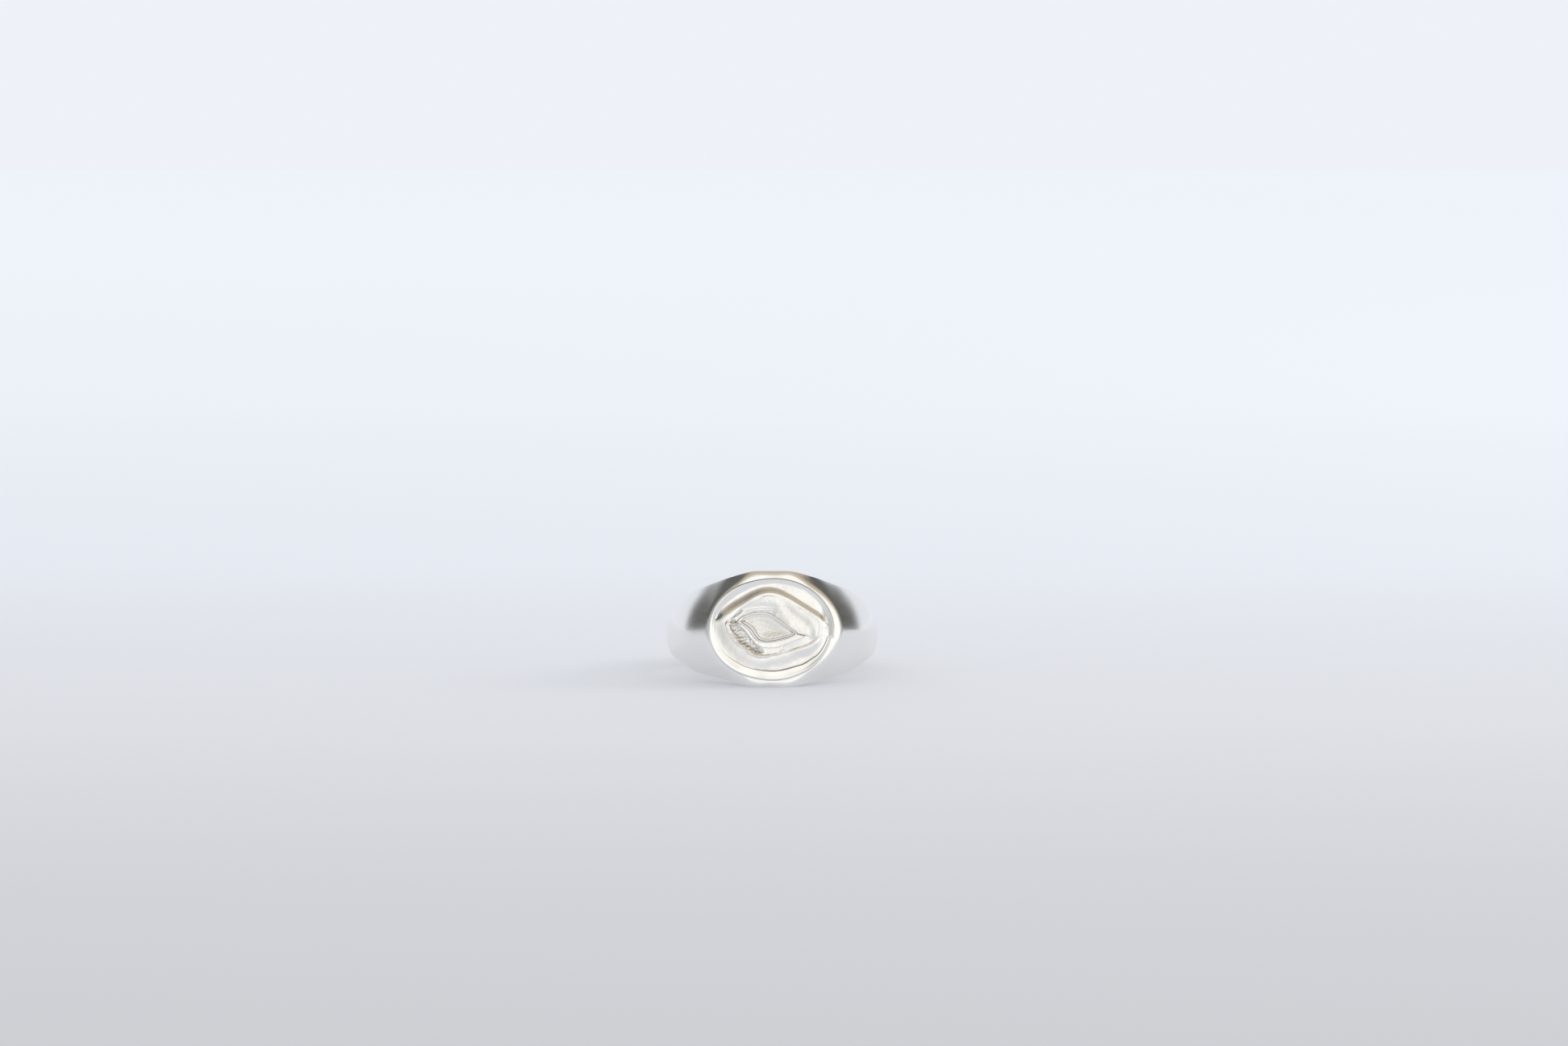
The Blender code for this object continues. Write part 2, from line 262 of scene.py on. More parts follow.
# Lines that are drawn into the relief, each from its left end to its right end.
OUTER_FOLD = ((-3.75, 0.45), (-3.40, 0.30), (-2.80, -0.20), (-2.10, -1.10), (-1.50, -1.70),
              (-0.60, -1.95), (0.50, -1.90), (1.40, -1.55))
UPPER_RIDGES = (
    ((-2.80, 1.72), (-1.80, 2.00), (-0.40, 2.05), (1.20, 1.90)),
    ((-2.80, 1.52), (-1.60, 1.82), (0.20, 1.80), (1.40, 1.52)),
)
SWOOSH = ((-0.20, 1.35), (1.10, 0.85), (2.60, 0.10), (4.10, -0.35))
TAIL_CREASE = ((2.30, -0.47), (2.90, -0.58), (3.60, -0.75))
FLAP_TEAR = ((0.55, -2.62), (0.80, -2.25), (1.20, -2.02), (1.10, -1.80), (1.50, -1.60))
CRACK = ((-4.15, 1.02), (-3.55, 1.28), (-3.15, 1.62), (-3.00, 1.86))
RELIEF_PIT = ((-3.92, 0.66), (0.15, 0.25), -0.20)  # centre, radii, depth
CORE_RIDGE = ((-2.2, 0.62), (-1.2, 0.50), (0.0, 0.10), (1.7, -0.42))
# What is drawn on the mantle: path, points along it, width, and height (negative for a groove).
MANTLE_LINES = (
    (SWOOSH, 60, 0.70, 0.05),
    (UPPER_RIDGES[0], 60, 0.07, 0.018),
    (UPPER_RIDGES[1], 60, 0.07, 0.018),
    (TAIL_CREASE, 30, 0.06, -0.04),
    (CRACK, 40, 0.06, -0.12),
)
# Where the mantle's and the lip's upper and lower sides meet, from left to right.
MANTLE_MIDDLE = ((-5.0, 0.5), (-3.5, 0.6), (2.5, -0.5), (3.6, -0.88), (4.8, -1.0))
LIP_MIDDLE = ((-3.5, 0.70), (-2.4, 0.75), (2.5, -0.48))
# The mantle's heights over the relief's level: two distances, and the heights there. The
# distances are from the lip, except the valley's, which are from the mantle's own edge.
UPPER_LEAF = ((0.0, 1.5), (0.08, 0.23))
SWEPT_LEAF = ((1.05, 1.9), (0.16, 0.24))  # the upper leaf's right end
RIGHT_LEAF = ((0.0, 1.3), (0.24, 0.14))  # below the tail
VALLEY = ((0.20, 0.85), (0.27, 0.03))
FOLD_LEVEL = 0.24  # inside the outer fold
FLAP_LEVEL = 0.22
FLAP_FOLD_RISE = 0.04
SWEPT_STARTS = (0.3, 2.0)  # from left to right
VALLEY_ENDS = (-2.6, -1.9)  # from left to right, slanted
EDGE_LINE = (0.060, 0.12, 0.08)  # the worn raised edge: height, distance in, and half width
VALLEY_ROUGHNESS = 0.050
# By the share of the way in across the lip: its rolled upper side's height, and its lower folds'.
LIP_UPPER_ROLL = ((0.00, 0.22), (0.10, 0.27), (0.32, 0.27), (0.50, 0.17), (0.75, 0.15), (1.00, 0.12))
LIP_LOWER_FOLDS = (
    (0.00, 0.25),
    (0.14, 0.30),
    (0.30, 0.30),
    (0.52, 0.23),
    (0.72, 0.24),
    (0.88, 0.27),
    (1.00, 0.19),
)
CORE_BOWL = ((0.0, 0.80), (0.14, 0.05))  # two distances from the core's edge, and the heights there
OUTLINE_POINTS = 320
RELIEF_COLUMNS = 640
LID_CENTRE = 0.02  # the share of a lid's size at which its rings end and one flat face closes it

# The map of the hollows, where the silver is drawn darker and rougher: its grid and how far that
# reaches from the face's centre, and how wide and how deep such hollows are.
CAVITY_STEP = 0.045
CAVITY_REACH = (6.6, 5.4)
CAVITY_BLUR = 0.13
CAVITY_DEPTH = 0.045

GRAIN_FALLOFF = 0.8  # how fast the grain's finer octaves weaken
GRAIN_LACUNARITY = 2.1  # how much finer each octave is than the one before
CHUNK = 4000  # points measured at a time, to spare memory

# The silvers, each with its roughness, how much rougher its clouds are, the depth of its grain
# in mm, and how fast its scratches change along x, y and z.
SILVER_LOOKS = (
    ("shoulder_silver", 0.17, 0.06, 0.0012, (900.0, 900.0, 2600.0)),
    ("band_silver", 0.10, 0.08, 0.0016, (900.0, 900.0, 2600.0)),
    ("rim_silver", 0.12, 0.05, 0.0010, (2400.0, 900.0, 2400.0)),
    ("plate_silver", 0.16, 0.06, 0.0012, (3000.0, 900.0, 1200.0)),
    ("relief_silver", 0.20, 0.10, 0.0030, (2500.0, 900.0, 2500.0)),
)
SILVER_TONES = ((0.93, 0.925, 0.91, 1), (0.91, 0.895, 0.87, 1))  # plain, and in the clouds
SCRATCH_ROUGHNESS = 0.05
# The silver in the hollows of the cavity map: drawn darker by this tone and share, and rougher.
HOLLOW_TONE = (0.46, 0.42, 0.36, 1)
HOLLOW_DARKENING = 0.40
HOLLOW_ROUGHNESS = 0.28
CAST_TONES = ((0.92, 0.915, 0.89, 1), (0.90, 0.88, 0.83, 1))
PIT_TONE = (0.66, 0.62, 0.55, 1)
CAST_GRAIN_SCALE = 9000.0
CAST_GRAIN_DEPTH = 0.012
SOLDER_TONES = ((0.90, 0.86, 0.76, 1), (0.80, 0.74, 0.60, 1))
SOLDER_GRAIN_DEPTH = 0.01
# A Mix node's colour sockets, by number, since its other kinds of value share their names.
MIX_FACTOR, MIX_A, MIX_B, MIX_RESULT = 0, 6, 7, 2

# The paper, in metres.
FLOOR_SIZE = 8.0
PAPER_GLOW = 0.45  # the share of the paper's tone given off as a painted glow, which no shadow takes away
PAINTED_PAPER_LIGHT = (  # painted light and shade: distance behind the ring, and the paper's lit tone there
    (-0.40, (0.850, 0.850, 0.850)),
    (-0.18, (0.600, 0.600, 0.620)),
    (-0.11, (0.635, 0.645, 0.675)),
    (-0.036, (0.715, 0.725, 0.760)),
    (0.02, (0.740, 0.755, 0.790)),
    (0.092, (0.785, 0.810, 0.860)),
    (0.364, (0.845, 0.870, 0.917)),
    (1.40, (0.902, 0.932, 0.982)),
)
PAINTED_LIGHT_FADES = (0.30, 1.50)  # how far from the ring the painted light fades to its last tone on every side
FIBRE_TONE = (0.5, 0.5, 0.5, 1)

# The room that the ring mirrors, by directions of length 1: x to the right, y away from the
# camera, z up. Each pair of places is where a change begins and where it is done.
FRONT_SPAN = (-0.55, -0.80)
FRONT_TOP = (0.60, 0.40)
WINDOW_SPAN = (-0.28, 0.03)
WINDOW_TONES = ((0.56, 0.565, 0.55, 1), (1.15, 1.14, 1.10, 1))  # the front's left and right
BACKDROP_SPAN = (0.02, 0.38)
BACKDROP_TOP = (0.74, 0.50)
BACKDROP_SIDES = (-0.2, 0.2)
BACKDROP_STARTS = (0.06, 0.17)  # how much farther back it starts, at its left and its right
BACKDROP_TONE = (0.80, 0.83, 0.88, 1)
DARK_SPAN = (-0.65, -0.05)
DARK_TONES = ((0.55, 0.48, 0.38, 1), (0.10, 0.10, 0.095, 1))  # towards the front, and the rest
LEFT_TURN = 0.8  # how much a direction to the left counts as one away from the camera
LOW_SPAN = (0.26, -0.04)
HEIGHT_SLANT = 0.3  # how much higher a direction counts the farther back it points
LOW_TONE = (0.45, 0.46, 0.48, 1)
EVEN_TONES = ((0.92, 0.94, 0.97, 1), (0.86, 0.89, 0.94, 1))  # what lights, and what is seen

# The lamp and the camera, in metres, with the sensor and the lens in millimetres.
LAMP_SIZE = 0.38
LAMP_ENERGY = 2.20
LAMP_COLOUR = (1.0, 0.98, 0.95)
LAMP_PLACE = (0.80, 0.09, 0.38)
LAMP_AIM = (0, 0, 0.004)
SENSOR_WIDTH = 36.0
LENS = 88.7975
CAMERA_CLIP = (0.01, 50.0)
CAMERA_DISTANCE = 0.384
CAMERA_ELEVATION = math.radians(7.5)
TARGET_RISE = 0.5  # mm over the table
# How far right of the view's middle and below it the face's centre falls, per unit of distance.
FACE_ASIDE = (-0.0030208, 0.0272917)


# ---------------------------------------------------------------- curves and numbers


def level_ended_spline(at, value):
    """A smooth function through stations, level at both ends, for arrays of positions."""
    at, value = np.array(at, float), np.array(value, float)
    gap = np.diff(at)
    slope = np.diff(value) / gap
    size = len(at)
    system, right = np.zeros((size, size)), np.zeros(size)
    system[0, :2] = 2 * gap[0], gap[0]
    system[-1, -2:] = gap[-1], 2 * gap[-1]
    right[0], right[-1] = 6 * slope[0], -6 * slope[-1]
    for i in range(1, size - 1):
        system[i, i - 1 : i + 2] = gap[i - 1], 2 * (gap[i - 1] + gap[i]), gap[i]
        right[i] = 6 * (slope[i] - slope[i - 1])
    bend = np.linalg.solve(system, right)

    def curve(x):
        x = np.clip(x, at[0], at[-1])
        i = np.clip(np.searchsorted(at, x) - 1, 0, size - 2)
        before = (at[i + 1] - x) / gap[i]
        after = 1 - before
        straight = before * value[i] + after * value[i + 1]
        bow = (before**3 - before) * bend[i] + (after**3 - after) * bend[i + 1]
        return straight + bow * gap[i] ** 2 / 6

    return curve


def through(points, steps, closed=False):
    """Points in order along a smooth curve through the given ones."""
    known = np.array(points, float)
    count = len(known)
    if closed:
        place = np.arange(steps) * count / steps
        wrapped = known[np.arange(-1, count + 2) % count]
    else:
        place = np.linspace(0, count - 1, steps)
        wrapped = np.vstack([2 * known[0] - known[1], known, 2 * known[-1] - known[-2]])
        place[-1] -= 1e-9
    i = place.astype(int)
    t = (place - i)[:, None]
    before, start, end, after = (wrapped[i + k] for k in range(4))
    return 0.5 * (
        2 * start
        + (end - before) * t
        + (2 * before - 5 * start + 4 * end - after) * t**2
        + (3 * start - before - 3 * end + after) * t**3
    )


def smooth_step(low, high, x):
    """0 at low, 1 at high, smooth between them and level beyond them."""
    t = np.clip((x - low) / (high - low), 0, 1)
    return t * t * (3 - 2 * t)


def soft_min(a, b, width):
    """The smaller of two values, with the corner between them rounded over."""
    share = np.clip(0.5 + 0.5 * (b - a) / width, 0, 1)
    return b + (a - b) * share - width * share * (1 - share)


def along(stations, x):
    """The value at x on the straight lines between stations of place and value."""
    places, values = zip(*stations)
    return np.interp(x, places, values)


def graded(x, places, values):
    """A value that passes smoothly from the first to the second between two places."""
    return values[0] + (values[1] - values[0]) * smooth_step(*places, x)


def ripple(turn, waves):
    """Waves round the face, each given by its height, number of waves, and phase."""
    return sum(height * np.sin(count * turn + phase) for height, count, phase in waves)


def apart(turn, other):
    """The angle from one direction to another, from -pi to pi."""
    return (turn - other + math.pi) % (2 * math.pi) - math.pi


def nearest(path, points, closed=False):
    """For each point: distance to a path, positive on its left side, and the share along it."""
    start = path if closed else path[:-1]
    end = np.roll(path, -1, axis=0) if closed else path[1:]
    run = end - start
    length = (run**2).sum(1)
    found = np.empty((len(points), 2))
    for first in range(0, len(points), CHUNK):
        some = points[first : first + CHUNK, None, :]
        t = np.clip(((some - start) * run).sum(2) / length, 0, 1)
        away = some - (start + t[..., None] * run)
        square = (away**2).sum(2)
        best = square.argmin(1)
        rows = np.arange(len(best))
        side = run[best, 0] * away[rows, best, 1] - run[best, 1] * away[rows, best, 0]
        found[first : first + CHUNK, 0] = np.sqrt(square[rows, best]) * np.where(side < 0, -1, 1)
        found[first : first + CHUNK, 1] = (best + t[rows, best]) / len(start)
    return found[:, 0], found[:, 1]


def faded_ends(share, fade=0.15):
    """1 along a path's middle, falling to 0 at both of its ends."""
    return smooth_step(0, fade, share) * smooth_step(0, fade, 1 - share)


def ridge(points, path, width, height):
    """A low line drawn along a path, or a groove if the height is negative."""
    away, share = nearest(path, points)
    return height * np.exp(-((away / width) ** 2)) * faded_ends(share)


def bump(points, centre, radii, height):
    """A soft round swelling, or a hollow if the height is negative."""
    x = (points[:, 0] - centre[0]) / radii[0]
    y = (points[:, 1] - centre[1]) / radii[1]
    return height * np.exp(-(x**2) - y**2)


def grain(points, size, seed, octaves=3):
    """Noise from about -1 to 1 over points of the face, with grains of that size in mm."""
    return np.array(
        [
            noise.fractal(
                Vector((x / size, y / size, seed)), GRAIN_FALLOFF, GRAIN_LACUNARITY, octaves
            )
            for x, y in points
        ]
    )


# ---------------------------------------------------------------- meshes


def lying_pose():
    """What lays the ring's own frame down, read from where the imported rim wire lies."""
    turn = Matrix.Rotation(-math.atan(REST_SLOPE), 4, "X")
    back = turn.inverted()
    points = [back @ vertex.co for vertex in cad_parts["rim_wire"].data.vertices]
    low = [min(point[k] for point in points) for k in range(3)]
    high = [max(point[k] for point in points) for k in range(3)]
    seat = Vector(((low[0] + high[0]) / 2, high[1], (low[2] + high[2]) / 2))
    drawn = Vector((0, -(TABLE_DISTANCE + GAP) * MM, 0))
    return turn @ Matrix.Translation(seat - drawn)


POSE = lying_pose()


def skin(name, loops, ring=False, recess=None, sharp=35.0):
    """A closed solid skinned over loops of points in mm, its ends capped or joined in a ring.

    Edges that turn by more than `sharp` degrees stay crisp.
    """
    loops = np.asarray(loops, float)
    rows, columns = loops.shape[:2]
    corner = np.arange(rows * columns).reshape(rows, columns)
    near = corner if ring else corner[:-1]
    far = np.roll(corner, -1, axis=0) if ring else corner[1:]
    quads = np.stack(
        [near, np.roll(near, -1, axis=1), np.roll(far, -1, axis=1), far], axis=-1
    ).reshape(-1, 4)
    faces = quads.tolist()
    if not ring:
        faces.append(corner[0][::-1].tolist())
        faces.append(corner[-1].tolist())
    mesh = bpy.data.meshes.new(name)
    mesh.from_pydata((loops.reshape(-1, 3) * MM).tolist(), [], faces)
    volume = 0.0
    mesh.calc_loop_triangles()
    for triangle in mesh.loop_triangles:
        a, b, c = (mesh.vertices[i].co for i in triangle.vertices)
        volume += a.dot(b.cross(c))
    if volume < 0:
        mesh.flip_normals()
    mesh.transform(POSE)
    mesh.shade_smooth()
    mesh.set_sharp_from_angle(angle=math.radians(sharp))
    tone = mesh.attributes.new("recess", "FLOAT", "POINT")
    values = np.zeros(rows * columns) if recess is None else np.asarray(recess).reshape(-1)
    tone.data.foreach_set("value", values.astype(np.float32))
    thing = bpy.data.objects.new(name, mesh)
    bpy.context.scene.collection.objects.link(thing)
    return thing


def finish_piece(thing, node, material):
    """Gives a piece its material, hides the CAD node it stands for, and hangs it under the root body.
    """
    thing.data.materials.append(material)
    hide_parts(node)
    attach(thing, "root")
    return thing


def on_face(points, rise):
    """Points of the face at a rise above the table, in the ring's frame."""
    return np.stack(
        [points[..., 0], -TABLE_DISTANCE - rise + 0 * points[..., 0], points[..., 1]], axis=-1
    )


# ---------------------------------------------------------------- head and band


crest_radius = level_ended_spline(*zip(*[(a, crest) for a, crest, _ in HOOP_STATIONS]))
edge_radius = level_ended_spline(*zip(*[(a, edge) for a, _, edge in HOOP_STATIONS]))
taper = level_ended_spline(*zip(*FLANK_STATIONS))


def half_width(turned, y):
    """Half the hoop's width. The flanks are lapped flat where the ring rests."""
    rest_plane = HEAD_HALF_WIDTH - (y - HEAD_FLANK_Y) * REST_SLOPE
    return soft_min(taper(turned), rest_plane, FLANK_ROUND)


def hoop_sections(degrees, dome_steps=110, flank_steps=8, corner_steps=6, bore_steps=24):
    """Closed outlines of the hoop, cut at each of the angles from the head."""
    angle = np.radians(degrees)[:, None]
    signed = ((degrees + 180) % 360 - 180)[:, None]
    turned = np.abs(signed)
    filed_at, spread, depth = FILED_LEFT
    crest = crest_radius(turned) - depth * np.exp(-(((signed - filed_at) / spread) ** 2))
    edge = edge_radius(turned)

    def flank_at(radius):
        return half_width(turned, -radius * np.cos(angle))

    corner_at = BORE_RADIUS + BORE_CROWN + BORE_EDGE_ROUND
    turn = math.pi / 2 * np.arange(corner_steps) / corner_steps
    corner = corner_at - BORE_EDGE_ROUND * np.cos(turn) + 0 * angle
    corner_height = flank_at(corner_at) - BORE_EDGE_ROUND * (1 - np.sin(turn))
    flank = corner_at + (edge - corner_at) * np.arange(flank_steps) / flank_steps
    flank_height = flank_at(flank)

    turn = math.pi * np.arange(dome_steps + 1) / dome_steps
    stations = np.array(DOME_POWERS)
    width_power, radius_power = (np.interp(turned, stations[:, 0], stations[:, k]) for k in (1, 2))
    across = np.sign(np.cos(turn)) * np.abs(np.cos(turn)) ** (2 / width_power)
    rise = np.maximum(np.sin(turn), 0) ** (2 / radius_power)
    dome = edge + (crest - edge) * rise
    dome_height = flank_at(edge) * across
    table = np.where(turned < TABLE_ENDS, TABLE_DISTANCE / np.cos(angle), FAR_OFF)
    dome = soft_min(dome, table, graded(turned, TABLE_EDGE_TURNS, TABLE_EDGE_ROUNDS))

    bore_end = corner_height[:, :1]
    share = 2 * np.arange(1, bore_steps) / bore_steps - 1
    bore = BORE_RADIUS + BORE_CROWN * share**2 + 0 * angle
    radius = np.hstack([corner, flank, dome, flank[:, ::-1], corner[:, ::-1], bore])
    height = np.hstack(
        [
            corner_height,
            flank_height,
            dome_height,
            -flank_height[:, ::-1],
            -corner_height[:, ::-1],
            bore_end * share,
        ]
    )
    return np.stack([radius * np.sin(angle), -radius * np.cos(angle), height], axis=-1)


def hand_finish(loops):
    """The slight waviness that lapping and polishing by hand leave, outside the bore."""
    x, y, z = loops[..., 0], loops[..., 1], loops[..., 2]
    outward = np.hypot(x, y)
    wave = sum(
        strength * np.sin(across * x + back * y + up * z + phase)
        for strength, across, back, up, phase in POLISH_WAVES
    ) / 3
    outside = smooth_step(*POLISH_STARTS, outward - BORE_RADIUS)
    scale = 1 + POLISH_DEPTH * wave * outside / outward
    return loops * np.stack([scale, scale, np.ones_like(scale)], axis=-1)


def make_head(material):
    reach = SEAM_ANGLE - SEAM_HALF_ANGLE
    coarse = np.arange(-reach, -HEAD_FINE_REACH, HEAD_COARSE_STEP)
    fine = np.linspace(-HEAD_FINE_REACH, HEAD_FINE_REACH, HEAD_FINE_SECTIONS)
    angles = np.concatenate([coarse, fine, -coarse[::-1]])
    head = skin("head_visual", hand_finish(hoop_sections(angles)))
    return finish_piece(head, "head", material)


def make_shank(material):
    start = SEAM_ANGLE + SEAM_HALF_ANGLE
    angles = np.linspace(start, 360 - start, SHANK_SECTIONS)
    shank = skin("shank_visual", hand_finish(hoop_sections(angles, BAND_DOME_STEPS)))
    return finish_piece(shank, "shank", material)


def make_seams(material):
    """The solder films, a hair proud of the silver on both sides."""
    for side, angle in (("right", SEAM_ANGLE), ("left", -SEAM_ANGLE)):
        angles = np.linspace(angle - SEAM_HALF_ANGLE, angle + SEAM_HALF_ANGLE, SEAM_SECTIONS)
        loops = hand_finish(hoop_sections(angles, BAND_DOME_STEPS))
        middle = loops.mean(axis=1, keepdims=True)
        seam = skin(f"solder_seam_{side}_visual", middle + (loops - middle) * SOLDER_PROUD)
        finish_piece(seam, f"solder_seam_{side}", material)


# ---------------------------------------------------------------- rim and face plate


def crease_radius(turn):
    """How far the rim's outer crease is from the rim's centre, in each direction."""
    a, b = RIM_CREASE
    oval = a * b / np.hypot(b * np.cos(turn), a * np.sin(turn))
    below_lap = apart(LAP_TURN, turn)
    lap = smooth_step(-LAP_EDGE, LAP_EDGE, below_lap) * (1 - smooth_step(*LAP_FADES, below_lap))
    return oval + ripple(turn, CREASE_WAVES) - LAP_STEP * lap


def rim_points(turn, radius):
    """Points of the face by their direction and distance from the rim's centre."""
    across, up = RIM_CENTRE
    return np.stack([across + radius * np.cos(turn), up + radius * np.sin(turn)], axis=-1)


def rim_direction(points):
    """Each point's direction and distance from the rim's centre."""
    across = points[..., 0] - RIM_CENTRE[0]
    up = points[..., 1] - RIM_CENTRE[1]
    return np.arctan2(up, across), np.hypot(across, up)


def around(turn, column):
    """A value of RIM_STATIONS, changing smoothly round the face."""
    at = np.array([station[0] for station in RIM_STATIONS], float)
    value = np.array([station[column] for station in RIM_STATIONS], float)
    degrees = np.degrees(turn) % 360
    i = np.searchsorted(at, degrees, side="right") - 1
    after = (i + 1) % len(at)
    gap = (at[after] - at[i]) % 360
    return value[i] + (value[after] - value[i]) * smooth_step(0, 1, (degrees - at[i]) / gap)


def rim_width(turn):
    """The rim's width round the face, uneven as a hand leaves it."""
    return around(turn, 1) * (1 + ripple(turn, WIDTH_WAVES))


def rim_profile(inward, turn):
    """The rim's rise above the table at a distance in from its crease."""
    crest, floor, stepwise = (around(turn, column) for column in (2, 3, 4))
    crest = crest + ripple(turn, CREST_WAVES)
    outside = np.sqrt(np.clip(1 - np.clip(1 - inward / RIM_OUTER_ROUND, 0, 1) ** 2, 0, 1))
    share = inward / rim_width(turn)
    plain = smooth_step(*RIM_PLAIN_FALL, share)
    fall = (1 - stepwise) * plain + stepwise * along(RIM_STEPPED_FALL, share)
    inner = floor - RIM_SINK * (1 - stepwise)
    return outside * (crest - (crest - inner) * fall)


def make_rim(material):
    """A bead bent round the face, steep outside, hollow inside, with a lap joint at the right."""
    turns = 2 * math.pi * np.arange(RIM_TURNS) / RIM_TURNS
    width = rim_width(turns)
    rounded = RIM_OUTER_ROUND * (1 - np.cos(np.linspace(0, math.pi / 2, RIM_ROUND_STEPS)))
    depths = [width, 0 * width] + [0 * width + depth for depth in rounded]
    rises = [0 * width, 0 * width] + [rim_profile(depth, turns) for depth in depths[2:]]
    for share in np.linspace(0, 1, RIM_SLOPE_STEPS)[1:]:
        depths.append(RIM_OUTER_ROUND + (width - RIM_OUTER_ROUND) * share)
        rises.append(rim_profile(depths[-1], turns))
    away = np.abs(apart(turns, LAP_TURN)) * RIM_CREASE[0]
    notch_depth, notch_width = LAP_NOTCH
    notch = notch_depth * np.exp(-((away / notch_width) ** 2))
    loops = []
    for depth, rise in zip(depths, rises):
        points = rim_points(turns, crease_radius(turns) - depth)
        cut = notch * smooth_step(0.9, 0.1, depth / width) * (rise > 0)
        loops.append(on_face(points, np.maximum(rise - cut, 0)))
    rim = skin("rim_visual", loops, ring=True, sharp=70)
    return finish_piece(rim, "rim_wire", material)


mantle_line, lip_line, core_line = (
    through(outline, OUTLINE_POINTS, closed=True)
    for outline in (MANTLE_OUTLINE, LIP_OUTLINE, CORE_OUTLINE)
)


def plate_rise(points):
    """The dished plate: its floor beside the rim, and the slope by which it swells to the relief."""
    inside = inside_of(mantle_line, points)
    outside = np.abs(inside)
    turn, _ = rim_direction(points)
    floor = around(turn, 3)
    left = np.maximum(-np.cos(turn), 0)
    bottom = np.maximum(-np.sin(turn), 0)
    reach = SWELL_REACHES[0] + SWELL_REACHES[1] * left + SWELL_REACHES[2] * bottom
    straight = np.clip((outside - SWELL_STARTS) / reach, 0, 1)
    around_it = 1 - 0.5 * (straight + smooth_step(SWELL_STARTS, reach, outside))
    brow, _ = nearest(through(PLATE_BROW, 90), points)
    above_it = 1 - smooth_step(-0.5, 0.5, brow / along(BROW_WIDTHS, points[:, 0]))
    upper = smooth_step(*BROW_HEIGHTS, points[:, 1])
    swell = around_it + (above_it - around_it) * upper
    ends = sum(bump(points, *end) for end in BROW_ENDS)
    top = PLATE_SWELL + BROW_RAISE * upper
    under = UNDER_RELIEF * smooth_step(*UNDER_RELIEF_STARTS, inside)
    rise = floor + (top - floor) * swell + ends - under
    return rise + 0.005 * grain(points, size=0.8, seed=3.0, octaves=2)


def make_plate(material):
    """The dished plate, in rings round the relief's middle."""
    turns = 2 * math.pi * np.arange(PLATE_TURNS) / PLATE_TURNS
    outline = rim_points(turns, crease_radius(turns) - rim_width(turns) + PLATE_REACH)
    centre = mantle_line.mean(axis=0)
    shares = np.concatenate([np.linspace(*rings) for rings in PLATE_RINGS])
    loops = [on_face(outline, np.zeros(len(turns)))]
    tones = [cavity_at(outline)]
    for share in shares:
        points = centre + share * (outline - centre)
        loops.append(on_face(points, plate_rise(points) - PLATE_EDGE_DROP * (share == 1.0)))
        tones.append(cavity_at(points))
    plate = skin("face_plate_visual", loops, recess=np.array(tones), sharp=50)
    return finish_piece(plate, "face_plate", material)


# ---------------------------------------------------------------- relief


def inside_of(line, points):
    """Distance to a closed outline drawn clockwise, positive inside it."""
    return -nearest(line, points, closed=True)[0]


def softened_edge(inside, width=0.10, drop=0.05):
    """How much a top surface falls away at its outline."""
    return drop * np.clip(1 - inside / width, 0, 1) ** 2


def mantle_rise(points):
    """The outer leaf: a thin raised edge, and what lies between it and the lip."""
    x, up = points[:, 0], points[:, 1]
    inside = np.abs(inside_of(mantle_line, points))
    lip_away = np.abs(inside_of(lip_line, points))
    upper = smooth_step(-0.25, 0.25, up - along(MANTLE_MIDDLE, x))
    valley = (1 - upper) * (1 - smooth_step(*VALLEY_ENDS, x + 0.5 * up))
    tear, _ = nearest(through(FLAP_TEAR, 40), points)
    flap = (1 - upper - valley) * smooth_step(-0.03, 0.05, tear)
    right = 1 - upper - valley - flap
    fold, _ = nearest(through(OUTER_FOLD, 60), points)
    in_fold = smooth_step(-0.03, 0.08, fold)

    falling = graded(lip_away, *UPPER_LEAF)
    falling += (graded(lip_away, *SWEPT_LEAF) - falling) * smooth_step(*SWEPT_STARTS, x)
    deep = graded(inside, *VALLEY)
    deep += (FOLD_LEVEL - deep) * in_fold
    flat = FLAP_LEVEL + FLAP_FOLD_RISE * in_fold
    away = graded(lip_away, *RIGHT_LEAF)
    rise = RELIEF_LEVEL + upper * falling + valley * deep + flap * flat + right * away

    worn = 0.6 + 0.5 * grain(points, size=0.9, seed=2.0, octaves=2)
    edge_height, edge_at, edge_width = EDGE_LINE
    edge_line = edge_height * np.exp(-(((inside - edge_at) / edge_width) ** 2))
    rise += (edge_line - softened_edge(inside)) * worn * (1 - 0.75 * upper)
    for path, steps, width, height in MANTLE_LINES:
        rise += ridge(points, through(path, steps), width, height)
    rise += bump(points, *RELIEF_PIT)
    in_valley = valley * smooth_step(0.28, 0.50, inside) * (1 - in_fold)
    rough = 0.004 + VALLEY_ROUGHNESS * in_valley
    rise += rough * grain(points, size=0.22, seed=8.0, octaves=4)
    return rise + 0.006 * grain(points, size=0.9, seed=5.0, octaves=2)


def lip_rise(points):
    """The almond-shaped lip: one rolled edge above, two nested folds below."""
    outside = np.abs(inside_of(lip_line, points))
    share = outside / (outside + np.abs(inside_of(core_line, points)) + 1e-9)
    lower = smooth_step(0.15, -0.15, points[:, 1] - along(LIP_MIDDLE, points[:, 0]))
    above, below = along(LIP_UPPER_ROLL, share), along(LIP_LOWER_FOLDS, share)
    rise = RELIEF_LEVEL + above * (1 - lower) + below * lower
    rise -= softened_edge(outside, width=0.08, drop=0.04)
    return rise + 0.004 * grain(points, size=0.35, seed=12.0, octaves=3)


def core_rise(points):
    """The sunken middle: a shallow valley with a cast grain."""
    inside = np.abs(inside_of(core_line, points))
    rise = RELIEF_LEVEL + graded(inside, *CORE_BOWL)
    rise += ridge(points, through(CORE_RIDGE, 40), width=0.14, height=0.02)
    return rise + 0.010 * grain(points, size=0.16, seed=21.0, octaves=4)


